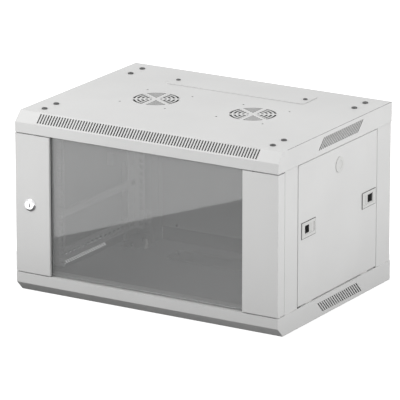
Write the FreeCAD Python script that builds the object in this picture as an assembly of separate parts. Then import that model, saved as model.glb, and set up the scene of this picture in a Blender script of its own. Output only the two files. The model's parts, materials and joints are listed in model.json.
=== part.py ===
import FreeCAD, Part
import math
import os

V = FreeCAD.Vector

# Wall mount network cabinet, 6 units high. Millimetres, Z up, front towards -Y.
# The origin is the middle of the underside of the base.

WIDTH = 600.0
DEPTH = 450.0
HEIGHT = 370.0

TRAY_T = 1.2            # sheet of the roof and the base
POST_T = 1.5
RAIL_T = 2.0            # rack rails
BEAM_T = 1.5            # depth rails
PANEL_T = 1.0
DOOR_T = 1.2
BACK_T = 1.2
BEND_R = 0.3            # inside radius of every fold

SEAT = 0.2              # between a piece and what it stands on
FIT = 0.25              # round a pin or a shank, on the radius
LINE = 2.0              # open line between the trays and the door or the side panels
POST_GAP = 0.3          # between a post and the side of a tray

# roof and base trays
TRAY_H = 41.0
SLOPE = 20.0            # the front edge slopes this far back and this far up
SILL = 42.0             # depth of the flange above or below the door
SIDE_FLANGE = 12.0
FRONT_VENT_EDGE = 50.0
FRONT_VENT_PITCH = 6.288
FRONT_VENT_W = 3.0
FRONT_VENT_L = 22.0
SIDE_VENTS = 20
SIDE_VENT_PITCH = 8.0
SIDE_VENT_W = 4.0
SIDE_VENT_LOW = 10.5    # lower end of a vent above the lower edge of the roof
SIDE_VENT_H = 22.0
SIDE_VENT_BACK = 7.0    # middle of the row behind the middle of the side panel
ROOF_SCREW_IN = 40.0    # from the side of the cabinet
FRONT_SCREWS_IN = [47.0, 89.5]      # from the front
REAR_SCREWS_IN = [83.0, 38.5]       # from the rear

# fan grilles in the roof
FAN_X = 111.5
FAN_Y = 0.0
FAN_RING_R = 11.5
FAN_RING_PITCH = 8.3
FAN_RINGS = 5
FAN_SLOT_W = 4.5
FAN_SPOKE_W = 8.0
FAN_HOLE_SPACING = 105.0
FAN_HOLE_R = 2.2

# cable entries
ENTRY_SIDE = 165.0      # from the side of the cabinet to the opening
ENTRY_W = 44.0
ENTRY_IN = 81.0         # middle of the opening from the rear
COVER_LAP_X = 25.0
COVER_LAP_Y = 9.0
COVER_CORNER = 8.0

# rack rails: 19 inch, square holes on 465.1 with 450 clear between the rails
UNIT = 44.45
UNIT_HOLES = [6.35, 22.225, 38.1]
RACK_SIDE = 67.45       # column of holes from the side of the cabinet
RACK_HOLE_IN = 7.55     # column of holes from the inner edge of the rail
RACK_HOLE = 9.5
RAIL_W = 25.0
RAIL_SET = 60.0         # front face of the front rail behind the front of the cabinet
RAIL_BACK = 87.0        # rear face of the rear rail in front of the rear of the cabinet
RAIL_END = 2.0
WEB_HOLES_UP = 89.0     # above and below the middle of the rail
WEB_HOLE_R = 3.5

# depth rails
BEAM_H = 28.0
BEAM_FLANGE = 0.56      # share of the room between the rack rail and the side panel
BEAM_TAB = 22.0
SLOT_STEPS = 17         # slots from the bolt of one rail to the bolt of the other
SLOT_MORE = 1           # slots beyond the bolt at each end
SLOT_L = 10.0
SLOT_H = 6.6
BRACE_DOWN = 40.0       # below the middle of the cabinet
BRACE_H = 15.0
BRACE_T = 1.8

# posts
FRONT_POST_D = 50.0
FRONT_LAND = 12.0
REAR_POST_D = 56.0
REAR_LAND = 6.5
LAND_IN = 12.0          # landing of the side panel behind the face of the post
FRONT_IN = 9.5          # front flange ends this far inside the rack rail's outer face
REAR_RETURN = 14.0
REAR_WEB_D = 40.0
END_PLATE = 72.0        # depth of the plate that closes each end of a post
END_PLATE_REAR = 94.0
WALL_HOLE_IN = 35.0     # from the side
WALL_HOLE_END = 42.0    # from the trays
WALL_HOLE_R = 4.5
BACK_LAP = 10.0         # rear panel behind the rear walls of the trays
BACK_FOLD = 15.0
BACK_SCREW_IN = 36.0

# door
DOOR_D = 25.0
DOOR_BACK = 3.0         # between the door and the posts
STRIP_W = 80.0
STRIP_LIP = 10.0
GLASS_SET = 6.5         # front of the glass lip behind the strip
GLASS_LAP = 20.0
GLASS_T = 5.0
GLASS_LIP = 18.0
SEAL_T = 0.8
RETAINER_T = 1.5
RETAINER_W = 29.0
STUD_R = 2.0
STUD_OUT = 4.8          # stud beyond the edge of the glass
STUD_END = 32.0         # outer studs from the ends of the door
HINGE_IN = 6.0          # hinge axis from the side of the door
HINGE_BACK = 11.0       # hinge axis from the front of the door
PIN_R = 3.0
PIN_TRAVEL = 8.0
BRACKET_T = 2.0
BRACKET_W = 18.0
GUIDE_DOWN = 34.0       # lower guide of the sprung pin below the top of the door
KNOB_DOWN = 16.0        # knob of the sprung pin below its guide
KNOB_H = 7.0
COLLAR_H = 3.0
SPRING_WIRE_R = 0.6
SPRING_TURNS = 5
BUFFER_R = 3.5
BUFFER_END = 47.0       # from the ends of the door

# lock
LOCK_X = 34.7           # from the side of the door
LOCK_DOWN = 1.5         # below the middle of the door
BEZEL_R = 13.0
BEZEL_T = 3.0
BARREL_R = 9.5
BARREL_L = 22.0
PLUG_R = 6.0
CAM_L = 25.0
CAM_W = 16.0
CAM_T = 2.0
CAM_FLAT = 8.5          # flat of the cam from the lock's axis, then its step
CAM_STEP = 13.5
CAM_TAIL = 8.0          # other side of the axis
CAM_SCREW_L = 7.0
CAM_SCREW_R = 2.0
CAM_SCREW_HEAD_R = 5.5
LOCK_NUT_FLATS = 22.0
LOCK_NUT_H = 4.0
CAM_ROOM = 8.0          # room round the end of the cam in the post's cut-out
CAM_CATCH = 8.0         # how far the turned cam reaches behind the post

# side panels
LATCH_UP = 7.5          # above the middle
LATCH_FRONT_IN = 38.5   # from the front edge of the panel
LATCH_REAR_IN = 33.0
LATCH_L = 52.5
LATCH_H = 31.0
LATCH_IN = 19.0
LATCH_WALL = 1.5
LATCH_TRAVEL = 7.0
RECESS_L = 18.0         # finger recess of a latch
RECESS_H = 16.0
RECESS_IN = 9.0
RECESS_LAND = 1.8       # from its end to the end of the slide
GROOVE_OFF = 7.3        # fine groove beside the recess
GROOVE_W = 1.2
GROOVE_LONGER = 1.0     # past the recess at each end
CAP_BACK = 4.5          # behind the middle of the panel
CAP_DOWN = 36.0         # below its upper edge
CAP_R = 16.0
GLIDE_IN = 45.0
GLIDE_L = 24.0

# screws
SCREW_HEAD_R = 5.75
SCREW_HEAD_H = 2.4
SCREW_R = 2.5
SCREW_L = 10.0
BOLT_HEAD_R = 5.0
BOLT_HEAD_H = 2.4
BOLT_R = 3.0
NUT_FLATS = 10.0
NUT_H = 4.0
EARTH_IN = 71.0         # from the left side
EARTH_BACK = 75.0       # from the rear
EARTH_L = 20.0

HALF_W = WIDTH / 2.0
FRONT = -DEPTH / 2.0
REAR = DEPTH / 2.0
MID_Z = HEIGHT / 2.0
WEB_X = HALF_W - TRAY_T - POST_GAP
LAND_X = WEB_X - LAND_IN
LOW_Z = TRAY_H + LINE
HIGH_Z = HEIGHT - LOW_Z
POST_Z0 = TRAY_T + SEAT
POST_Z1 = HEIGHT - POST_Z0
POST_Y0 = FRONT + DOOR_D + DOOR_BACK
STEP_Y0 = POST_Y0 + FRONT_POST_D
STEP_Y1 = REAR - REAR_POST_D
PANEL_Y0 = STEP_Y0 + LINE
PANEL_Y1 = STEP_Y1 - LINE
RACK_X = HALF_W - RACK_SIDE
RAIL_IN = RACK_X - RACK_HOLE_IN
RAIL_OUT = RAIL_IN + RAIL_W
FRONT_FLANGE_X = RAIL_OUT - FRONT_IN
REAR_FLANGE_X = RAIL_OUT - REAR_RETURN
BEAM_X = RAIL_OUT + SEAT
BEAM_Z0 = LOW_Z + 1.0
SLOT_Z = BEAM_Z0 + BEAM_H / 2.0
RAIL_Z0 = BEAM_Z0 + RAIL_END
RAIL_Z1 = HEIGHT - RAIL_Z0
RAIL_Y0 = FRONT + RAIL_SET
RAIL_Y1 = REAR - RAIL_BACK
UNITS = int((RAIL_Z1 - RAIL_Z0) / UNIT)
BRACE_Z = MID_Z - BRACE_DOWN
BOLT_Y0 = RAIL_Y0 + RAIL_W / 2.0
BOLT_Y1 = RAIL_Y1 - RAIL_W / 2.0
SLOT_PITCH = (BOLT_Y1 - BOLT_Y0) / SLOT_STEPS
REAR_WEB_Y = REAR - REAR_WEB_D
HINGE_X = HALF_W - HINGE_IN
HINGE_Y = FRONT + HINGE_BACK
LOCK_CX = -HALF_W + LOCK_X
LOCK_Z = MID_Z - LOCK_DOWN
LATCH_Z = MID_Z + LATCH_UP
LATCH_FRONT_Y = PANEL_Y0 + LATCH_FRONT_IN
LATCH_REAR_Y = PANEL_Y1 - LATCH_REAR_IN
PANEL_MID_Y = (PANEL_Y0 + PANEL_Y1) / 2.0
SIDE_VENT_Y = PANEL_MID_Y + SIDE_VENT_BACK
CAP_Y = PANEL_MID_Y + CAP_BACK
CAP_Z = HIGH_Z - CAP_DOWN
ENTRY_L = WIDTH - 2.0 * ENTRY_SIDE
ENTRY_Y = REAR - ENTRY_IN
STUD_Z = [LOW_Z + STUD_END, MID_Z, HIGH_Z - STUD_END]
SHANK_HOLE = SCREW_R + FIT
BOLT_HOLE = BOLT_R + FIT

os.makedirs("parts", exist_ok=True)


def box(x0, x1, y0, y1, z0, z1):
    return Part.makeBox(x1 - x0, y1 - y0, z1 - z0, V(x0, y0, z0))


def rod(radius, at, along, length):
    return Part.makeCylinder(radius, length, at, along)


def join(shapes):
    first = shapes[0]
    return first.fuse(shapes[1:]).removeSplitter()


def prism(points, along):
    face = Part.Face(Part.makePolygon(points + [points[0]]))
    return face.extrude(along)


def across(shape):
    """the same piece for the left side"""
    return shape.mirror(V(0, 0, 0), V(1, 0, 0))


def over(shape):
    """the same piece turned over between base and roof"""
    return shape.mirror(V(0, 0, MID_Z), V(0, 0, 1))


def both_sides(shapes):
    return shapes + [across(s) for s in shapes]


def group(shapes):
    return Part.makeCompound(shapes)


def save(name, shape):
    shape.exportStep("parts/" + name + ".step")


def folded(points, thick, place, along, radius=BEND_R):
    """a folded sheet: points run along its outer face and the sheet lies to their left"""
    edges = []
    ends = []
    count = len(points)
    dirs = []
    for i in range(count - 1):
        du = points[i + 1][0] - points[i][0]
        dv = points[i + 1][1] - points[i][1]
        size = math.hypot(du, dv)
        dirs.append((du / size, dv / size))
    for side in (0.0, thick):
        here = None
        for i in range(count):
            d = dirs[min(i, count - 2)]
            n = (-d[1], d[0])
            p = points[i]
            if i == 0 or i == count - 1:
                q = (p[0] + n[0] * side, p[1] + n[1] * side)
                if i:
                    edges.append(Part.makeLine(place(*here), place(*q)))
                ends.append(q)
                here = q
                continue
            c = dirs[i - 1]
            turn = math.atan2(c[0] * d[1] - c[1] * d[0], c[0] * d[0] + c[1] * d[1])
            sign = 1.0 if turn > 0 else -1.0
            rb = radius + thick if turn > 0 else radius
            back = rb * math.tan(abs(turn) / 2.0)
            m = (-c[1], c[0])
            a = (p[0] - c[0] * back, p[1] - c[1] * back)
            b = (p[0] + d[0] * back, p[1] + d[1] * back)
            centre = (a[0] + m[0] * sign * rb, a[1] + m[1] * sign * rb)
            way = (p[0] - centre[0], p[1] - centre[1])
            far = math.hypot(way[0], way[1])
            r = rb - sign * side
            mid = (centre[0] + way[0] / far * r, centre[1] + way[1] / far * r)
            a = (a[0] + m[0] * side, a[1] + m[1] * side)
            b = (b[0] + n[0] * side, b[1] + n[1] * side)
            edges.append(Part.makeLine(place(*here), place(*a)))
            edges.append(Part.Arc(place(*a), place(*mid), place(*b)).toShape())
            here = b
    edges.append(Part.makeLine(place(*ends[0]), place(*ends[2])))
    edges.append(Part.makeLine(place(*ends[1]), place(*ends[3])))
    face = Part.Face(Part.Wire(Part.__sortEdges__(edges)))
    return face.extrude(along)


def frame_axes(axis):
    other = V(1, 0, 0) if abs(axis.z) > 0.5 else V(0, 0, 1)
    u = axis.cross(other)
    u.normalize()
    return u, axis.cross(u)


def hex_nut(at, axis, flats, thick, hole):
    u, v = frame_axes(axis)
    corner = flats / math.sqrt(3.0)
    points = []
    for k in range(6):
        a = math.radians(60.0 * k)
        points.append(at + u * (corner * math.cos(a)) + v * (corner * math.sin(a)))
    body = prism(points, axis * thick)
    return body.cut(rod(hole, at - axis, axis, thick + 2.0))


def screw(at, into, length, head_r=SCREW_HEAD_R, head_h=SCREW_HEAD_H, shank_r=SCREW_R):
    out = into * -1.0
    low = rod(head_r, at, out, head_h / 2.0)
    crown = Part.makeCone(head_r, head_r * 0.72, head_h / 2.0, at + out * (head_h / 2.0), out)
    shank = rod(shank_r, at, into, length)
    body = join([low, crown, shank])
    u, v = frame_axes(into)
    cuts = []
    for w, other in ((u, v), (v, u)):
        a = w * (head_r * 0.45)
        b = other * (head_r * 0.1)
        start = at + out * (head_h * 0.35)
        cuts.append(prism([start + a + b, start - a + b, start - a - b, start + a - b], out * head_h))
    return body.cut(cuts)


def bolt(at, into, length, head_r=BOLT_HEAD_R, head_h=BOLT_HEAD_H, shank_r=BOLT_R):
    head = rod(head_r, at, into * -1.0, head_h)
    return join([head, rod(shank_r, at, into, length)])


# roof and base trays

def tray_block(inset, radius, depth):
    y0 = FRONT + inset
    y1 = REAR - inset
    z0 = HEIGHT - depth
    z1 = HEIGHT - inset
    s = SLOPE + inset * (math.sqrt(2.0) - 1.0)
    x0 = -HALF_W + inset
    points = [(y0, z0), (y0, HEIGHT - s), (FRONT + s, z1), (y1, z1), (y1, z0)]
    body = prism([V(x0, y, z) for y, z in points], V(-2.0 * x0, 0, 0))
    edges = []
    for edge in body.Edges:
        zs = [p.Point.z for p in edge.Vertexes]
        if max(zs) > z0 + 0.01:
            edges.append(edge)
    return body.makeFillet(radius, edges)


def tray():
    shell = tray_block(0.0, BEND_R + TRAY_T, TRAY_H)
    shell = shell.cut(tray_block(TRAY_T, BEND_R, TRAY_H * 1.5))
    z0 = HEIGHT - TRAY_H
    z1 = z0 + TRAY_T
    mid = TRAY_T / 2.0
    x1 = HALF_W - mid
    clear = POST_T
    wide = box(-x1, x1, FRONT + mid, POST_Y0 - clear, z0, z1)
    sill_x = FRONT_FLANGE_X - clear
    deep = box(-sill_x, sill_x, FRONT + mid, FRONT + SILL, z0, z1)
    y0 = STEP_Y0 + FRONT_LAND + clear
    y1 = STEP_Y1 - REAR_LAND - clear
    side = box(WEB_X - SIDE_FLANGE, x1, y0, y1, z0, z1)
    shell = join([shell, wide, deep] + both_sides([side]))
    corner_x = REAR_FLANGE_X - SEAT
    corner_y = REAR - TRAY_T - BEND_R * 2.0
    corner = box(corner_x, HALF_W - TRAY_T, corner_y, REAR + 1.0, z0 - 1.0, HEIGHT - TRAY_T)
    cuts = both_sides([corner])
    low = z0 + SIDE_VENT_LOW
    high = low + SIDE_VENT_H
    half = SIDE_VENT_W / 2.0
    for k in range(SIDE_VENTS):
        y = SIDE_VENT_Y + (k - (SIDE_VENTS - 1) / 2.0) * SIDE_VENT_PITCH
        a = y - SIDE_VENT_H / 2.0
        b = y + SIDE_VENT_H / 2.0
        points = [(a - half, low), (a + half, low), (b + half, high), (b - half, high)]
        cuts.append(prism([V(-HALF_W - 1.0, p, q) for p, q in points], V(WIDTH + 2.0, 0, 0)))
    x0 = ENTRY_L / 2.0
    y0 = ENTRY_Y - ENTRY_W / 2.0
    cuts.append(box(-x0, x0, y0, y0 + ENTRY_W, HEIGHT - 2.0 * TRAY_T, HEIGHT + 1.0))
    for x in (-1, 1):
        at = V(x * (x0 + COVER_LAP_X / 2.0), ENTRY_Y, HEIGHT + 1.0)
        cuts.append(rod(SHANK_HOLE, at, V(0, 0, -1), TRAY_T + 2.0))
    cuts.append(rod(PIN_R + FIT, V(HINGE_X, HINGE_Y, z0 - 1.0), V(0, 0, 1), TRAY_T + 2.0))
    for x, z in BACK_SCREWS:
        if z > MID_Z:
            cuts.append(rod(SHANK_HOLE, V(x, REAR - 3.0 * TRAY_T, z), V(0, 1, 0), 5.0 * TRAY_T))
    return shell.cut(cuts)


BACK_SCREW_X = REAR_FLANGE_X - BACK_SCREW_IN
BACK_SCREWS = []
for bx in (-BACK_SCREW_X, 0.0, BACK_SCREW_X):
    BACK_SCREWS.append((bx, TRAY_H - BACK_LAP / 2.0))
    BACK_SCREWS.append((bx, HEIGHT - TRAY_H + BACK_LAP / 2.0))
FRONT_SCREW_YS = [FRONT + y for y in FRONT_SCREWS_IN]
REAR_SCREW_YS = [REAR - y for y in REAR_SCREWS_IN]
POST_SCREWS = []
for py in FRONT_SCREW_YS + REAR_SCREW_YS:
    POST_SCREWS.append((HALF_W - ROOF_SCREW_IN, py))
    POST_SCREWS.append((-HALF_W + ROOF_SCREW_IN, py))


def fan_slots(x, y):
    rings = []
    for k in range(FAN_RINGS):
        r = FAN_RING_R + k * FAN_RING_PITCH
        at = V(x, y, HEIGHT - 2.0 * TRAY_T)
        outer = rod(r + FAN_SLOT_W / 2.0, at, V(0, 0, 1), 4.0 * TRAY_T)
        rings.append(outer.cut(rod(r - FAN_SLOT_W / 2.0, at, V(0, 0, 1), 4.0 * TRAY_T)))
    reach = FAN_RING_R + FAN_RINGS * FAN_RING_PITCH
    spokes = []
    for angle in (30.0, 90.0, 150.0):
        half = FAN_SPOKE_W / 2.0
        bar = box(-reach, reach, -half, half, HEIGHT - 3.0 * TRAY_T, HEIGHT + 3.0 * TRAY_T)
        bar.rotate(V(0, 0, 0), V(0, 0, 1), angle)
        bar.translate(V(x, y, 0))
        spokes.append(bar)
    return [ring.cut(spokes) for ring in rings]


common = tray()

cuts = []
room = WIDTH - 2.0 * FRONT_VENT_EDGE
vents = int(room / FRONT_VENT_PITCH) + 1
up = V(0, 1, 1)
up.normalize()
normal = V(0, -1, 1)
normal.normalize()
slope_mid = V(0, FRONT + SLOPE / 2.0, HEIGHT - SLOPE / 2.0)
for k in range(vents):
    x = (k - (vents - 1) / 2.0) * FRONT_VENT_PITCH
    at = slope_mid + V(x - FRONT_VENT_W / 2.0, 0, 0) - up * (FRONT_VENT_L / 2.0) - normal * (2.0 * TRAY_T)
    side = V(FRONT_VENT_W, 0, 0)
    long = up * FRONT_VENT_L
    cuts.append(prism([at, at + side, at + side + long, at + long], normal * (4.0 * TRAY_T)))
for fx in (-FAN_X, FAN_X):
    cuts = cuts + fan_slots(fx, FAN_Y)
    half = FAN_HOLE_SPACING / 2.0
    for sx in (-half, half):
        for sy in (-half, half):
            at = V(fx + sx, FAN_Y + sy, HEIGHT - 2.0 * TRAY_T)
            cuts.append(rod(FAN_HOLE_R, at, V(0, 0, 1), 4.0 * TRAY_T))
for px, py in POST_SCREWS:
    cuts.append(rod(SHANK_HOLE, V(px, py, HEIGHT - 2.0 * TRAY_T), V(0, 0, 1), 4.0 * TRAY_T))
save("roof_panel", common.cut(cuts))

COUNTERSINK = POST_Z0 + POST_T - SEAT
cuts = []
for px, py in POST_SCREWS:
    cuts.append(Part.makeCone(2.0 * SCREW_R + FIT, SHANK_HOLE, COUNTERSINK, V(px, py, 0), V(0, 0, 1)))
    cuts.append(rod(SHANK_HOLE, V(px, py, -1), V(0, 0, 1), 8.0))
base_cuts = list(cuts)
save("base_panel", over(common).cut(base_cuts))

screws = []
for px, py in POST_SCREWS:
    screws.append(screw(V(px, py, HEIGHT + SEAT / 2.0), V(0, 0, -1), SCREW_L))
save("roof_screws", group(screws))

screws = []
for px, py in POST_SCREWS:
    head = Part.makeCone(2.0 * SCREW_R, SCREW_R, COUNTERSINK - FIT, V(px, py, 0), V(0, 0, 1))
    screws.append(join([head, rod(SCREW_R, V(px, py, 0), V(0, 0, 1), SCREW_L)]))
save("base_screws", group(screws))


def cable_cover(z0):
    x0 = ENTRY_L / 2.0 + COVER_LAP_X
    y0 = ENTRY_W / 2.0 + COVER_LAP_Y
    plate = box(-x0, x0, ENTRY_Y - y0, ENTRY_Y + y0, z0, z0 + TRAY_T)
    corners = []
    for edge in plate.Edges:
        a = edge.Vertexes[0].Point
        b = edge.Vertexes[1].Point
        if abs(a.z - b.z) > TRAY_T / 2.0:
            corners.append(edge)
    plate = plate.makeFillet(COVER_CORNER, corners)
    holes = []
    for x in (-1, 1):
        at = V(x * (ENTRY_L + COVER_LAP_X) / 2.0, ENTRY_Y, z0 - 1.0)
        holes.append(rod(SHANK_HOLE, at, V(0, 0, 1), TRAY_T + 2.0))
    return plate.cut(holes)


cover_z = HEIGHT + SEAT
inner_z = TRAY_T + SEAT
save("roof_cable_cover", cable_cover(cover_z))
save("base_cable_cover", cable_cover(inner_z))
screws = []
for x in (-1, 1):
    px = x * (ENTRY_L + COVER_LAP_X) / 2.0
    screws.append(bolt(V(px, ENTRY_Y, cover_z + TRAY_T + SEAT), V(0, 0, -1), 6.0, 4.5, 2.0, SCREW_R))
    top = inner_z + TRAY_T + SEAT
    screws.append(bolt(V(px, ENTRY_Y, top), V(0, 0, -1), top, 4.5, 2.0, SCREW_R))
save("cable_cover_screws", group(screws))

# posts


def end_plates(x0, x1, boxes):
    plates = []
    for y0, y1, out in boxes:
        plates.append(box(x0, out, y0, y1, POST_Z0, POST_Z0 + POST_T))
        plates.append(box(x0, out, y0, y1, POST_Z1 - POST_T, POST_Z1))
    return plates


def post_holes(rows):
    holes = []
    x = HALF_W - ROOF_SCREW_IN
    for y in rows:
        holes.append(rod(SHANK_HOLE, V(x, y, POST_Z1 - 2.0 * POST_T), V(0, 0, 1), 4.0 * POST_T))
        holes.append(rod(SHANK_HOLE, V(x, y, 0), V(0, 0, 1), 4.0 * POST_T))
        holes.append(Part.makeCone(2.0 * SCREW_R + FIT, SHANK_HOLE, COUNTERSINK, V(x, y, 0), V(0, 0, 1)))
    return holes


def upright(u, v):
    return V(u, v, POST_Z0)


SLOT_ZS = [SLOT_Z, HEIGHT - SLOT_Z]
TAB_X0 = BEAM_X + BEAM_T
TAB_X1 = BEAM_X + BEAM_TAB
FRONT_TAB_X = (TAB_X0 + TAB_X1) / 2.0
REAR_TAB_X = (REAR_FLANGE_X + POST_T + BEAM_X) / 2.0

points = [(FRONT_FLANGE_X, POST_Y0), (WEB_X, POST_Y0), (WEB_X, STEP_Y0)]
points = points + [(LAND_X, STEP_Y0), (LAND_X, STEP_Y0 + FRONT_LAND)]
post = folded(points, POST_T, upright, V(0, 0, POST_Z1 - POST_Z0))
half = POST_T / 2.0
plates = [(POST_Y0 + half, STEP_Y0 - half, WEB_X - half)]
plates.append((POST_Y0 + half, POST_Y0 + END_PLATE, LAND_X - half))
post = join([post] + end_plates(FRONT_FLANGE_X, WEB_X, plates))
cuts = post_holes(FRONT_SCREW_YS)
notch_x = CAM_L - LOCK_CX - CAM_CATCH
notch_z = CAM_L + CAM_ROOM
cuts.append(box(FRONT_FLANGE_X - 1.0, notch_x, POST_Y0 - 1.0, POST_Y0 + POST_T + 1.0,
                LOCK_Z - notch_z, LOCK_Z + notch_z))
for z in SLOT_ZS:
    cuts.append(rod(SHANK_HOLE, V(FRONT_TAB_X, POST_Y0 - 1.0, z), V(0, 1, 0), POST_T + 2.0))
post = post.cut(cuts)
save("front_post_right", post)
save("front_post_left", across(post))

points = [(LAND_X, STEP_Y1 - REAR_LAND), (LAND_X, STEP_Y1), (WEB_X, STEP_Y1), (WEB_X, REAR)]
points = points + [(REAR_FLANGE_X, REAR), (REAR_FLANGE_X, REAR_WEB_Y), (RAIL_OUT, REAR_WEB_Y)]
post = folded(points, POST_T, upright, V(0, 0, POST_Z1 - POST_Z0))
plates = [(STEP_Y1 + half, REAR - half, WEB_X - half)]
plates.append((REAR - END_PLATE_REAR, REAR - half, LAND_X - half))
post = join([post] + end_plates(FRONT_FLANGE_X, WEB_X, plates))
cuts = post_holes(REAR_SCREW_YS)
for z in (LOW_Z + WALL_HOLE_END, HIGH_Z - WALL_HOLE_END):
    cuts.append(rod(WALL_HOLE_R, V(HALF_W - WALL_HOLE_IN, REAR - 5.0, z), V(0, 1, 0), 10.0))
for z in SLOT_ZS:
    cuts.append(rod(SHANK_HOLE, V(REAR_TAB_X, REAR_WEB_Y - 1.0, z), V(0, 1, 0), POST_T + 2.0))
post = post.cut(cuts)
save("rear_post_right", post)
save("rear_post_left", across(post))

# rear panel

back_x = REAR_FLANGE_X - SEAT
back_y = REAR - TRAY_T - SEAT
fold_y = back_y - BACK_FOLD
points = [(back_x, fold_y), (back_x, back_y), (-back_x, back_y), (-back_x, fold_y)]
back_z0 = TRAY_H - BACK_LAP
back_z1 = HEIGHT - TRAY_H + BACK_LAP
panel = folded(points, BACK_T, lambda u, v: V(u, v, back_z0), V(0, 0, back_z1 - back_z0))
cuts = []
screws = []
for x, z in BACK_SCREWS:
    cuts.append(rod(SHANK_HOLE, V(x, back_y - 5.0, z), V(0, 1, 0), 10.0))
    head_y = back_y - BACK_T - SEAT
    screws.append(bolt(V(x, head_y, z), V(0, 1, 0), REAR - head_y - SEAT, 4.5, 2.0, SCREW_R))
save("rear_panel", panel.cut(cuts))
save("rear_panel_screws", group(screws))

# depth rails

beam_w = (LAND_X - POST_T - RAIL_OUT) * BEAM_FLANGE
beam_y0 = POST_Y0 + POST_T + SEAT
beam_y1 = REAR_WEB_Y - SEAT
points = [(BEAM_X, BEAM_Z0 + BEAM_H), (BEAM_X, BEAM_Z0), (BEAM_X + beam_w, BEAM_Z0)]
beam = folded(points, BEAM_T, lambda u, v: V(u, beam_y0, v), V(0, beam_y1 - beam_y0, 0))
ear_x = BEAM_X + BEAM_T / 2.0
tab = box(ear_x, TAB_X1, beam_y0, beam_y0 + BEAM_T, BEAM_Z0 + BEAM_T / 2.0, BEAM_Z0 + BEAM_H)
ear = box(REAR_FLANGE_X + POST_T, ear_x, beam_y1 - BEAM_T, beam_y1, BEAM_Z0, BEAM_Z0 + BEAM_H)
beam = join([beam, tab, ear])
cuts = []
for k in range(-SLOT_MORE, SLOT_STEPS + SLOT_MORE + 1):
    y = BOLT_Y0 + k * SLOT_PITCH
    cuts.append(box(BEAM_X - 1.0, BEAM_X + BEAM_T + 1.0, y - SLOT_L / 2.0, y + SLOT_L / 2.0,
                    SLOT_Z - SLOT_H / 2.0, SLOT_Z + SLOT_H / 2.0))
cuts.append(rod(SHANK_HOLE, V(FRONT_TAB_X, beam_y0 - 1.0, SLOT_Z), V(0, 1, 0), BEAM_T + 2.0))
cuts.append(rod(SHANK_HOLE, V(REAR_TAB_X, beam_y1 - BEAM_T - 1.0, SLOT_Z), V(0, 1, 0), BEAM_T + 2.0))
beam = beam.cut(cuts)
save("lower_depth_rail_right", beam)
save("lower_depth_rail_left", across(beam))
save("upper_depth_rail_right", over(beam))
save("upper_depth_rail_left", over(across(beam)))

bolts = []
for z in SLOT_ZS:
    at = V(FRONT_TAB_X, POST_Y0 - SEAT, z)
    bolts.append(bolt(at, V(0, 1, 0), 8.0, 4.5, 2.0, SCREW_R))
    at = V(REAR_TAB_X, beam_y1 - BEAM_T - SEAT, z)
    bolts.append(bolt(at, V(0, 1, 0), 8.0, 4.5, 2.0, SCREW_R))
save("depth_rail_screws", group(both_sides(bolts)))

# rack rails


def rack_rail(y0, way):
    points = [(RAIL_IN, 0.0), (RAIL_OUT, 0.0), (RAIL_OUT, RAIL_W)]
    rail = folded(points, RAIL_T, lambda u, v: V(u, v, RAIL_Z0), V(0, 0, RAIL_Z1 - RAIL_Z0))
    holes = []
    first = MID_Z - UNITS * UNIT / 2.0
    half = RACK_HOLE / 2.0
    for u in range(UNITS):
        for dz in UNIT_HOLES:
            z = first + u * UNIT + dz
            holes.append(box(RACK_X - half, RACK_X + half, -1.0, RAIL_T + 1.0, z - half, z + half))
    for z in SLOT_ZS + [BRACE_Z]:
        holes.append(rod(BOLT_HOLE, V(RAIL_OUT - 5.0, RAIL_W / 2.0, z), V(1, 0, 0), 10.0))
    for z in (MID_Z - WEB_HOLES_UP, MID_Z, MID_Z + WEB_HOLES_UP):
        holes.append(rod(WEB_HOLE_R, V(RAIL_OUT - 5.0, RAIL_W / 2.0, z), V(1, 0, 0), 10.0))
    rail = rail.cut(holes)
    if way < 0:
        rail = rail.mirror(V(0, 0, 0), V(0, 1, 0))
    rail.translate(V(0, y0, 0))
    return rail


rail = rack_rail(RAIL_Y0, 1)
save("front_rack_rail_right", rail)
save("front_rack_rail_left", across(rail))
rail = rack_rail(RAIL_Y1, -1)
save("rear_rack_rail_right", rail)
save("rear_rack_rail_left", across(rail))

brace_x = RAIL_OUT - RAIL_T - SEAT - BRACE_T
brace = box(brace_x, brace_x + BRACE_T, BOLT_Y0 - BRACE_H / 2.0, BOLT_Y1 + BRACE_H / 2.0,
            BRACE_Z - BRACE_H / 2.0, BRACE_Z + BRACE_H / 2.0)
cuts = []
bolts = []
nuts = []
for y in (BOLT_Y0, BOLT_Y1):
    cuts.append(rod(BOLT_HOLE, V(brace_x - 1.0, y, BRACE_Z), V(1, 0, 0), BRACE_T + 2.0))
    bolts.append(bolt(V(brace_x - SEAT, y, BRACE_Z), V(1, 0, 0), RAIL_OUT - brace_x + NUT_H + 1.5))
    nuts.append(hex_nut(V(RAIL_OUT + SEAT, y, BRACE_Z), V(1, 0, 0), NUT_FLATS, NUT_H, BOLT_R + 0.1))
    for z in SLOT_ZS:
        start = RAIL_OUT - RAIL_T - SEAT
        end = BEAM_X + BEAM_T + SEAT
        bolts.append(bolt(V(start, y, z), V(1, 0, 0), end - start + NUT_H + 1.0))
        nuts.append(hex_nut(V(end, y, z), V(1, 0, 0), NUT_FLATS, NUT_H, BOLT_R + 0.1))
brace = brace.cut(cuts)
save("side_brace_right", brace)
save("side_brace_left", across(brace))
save("rack_rail_bolts", group(both_sides(bolts)))
save("rack_rail_nuts", group(both_sides(nuts)))

# side panels

PANEL_EDGE = LAND_X + POST_GAP


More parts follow.
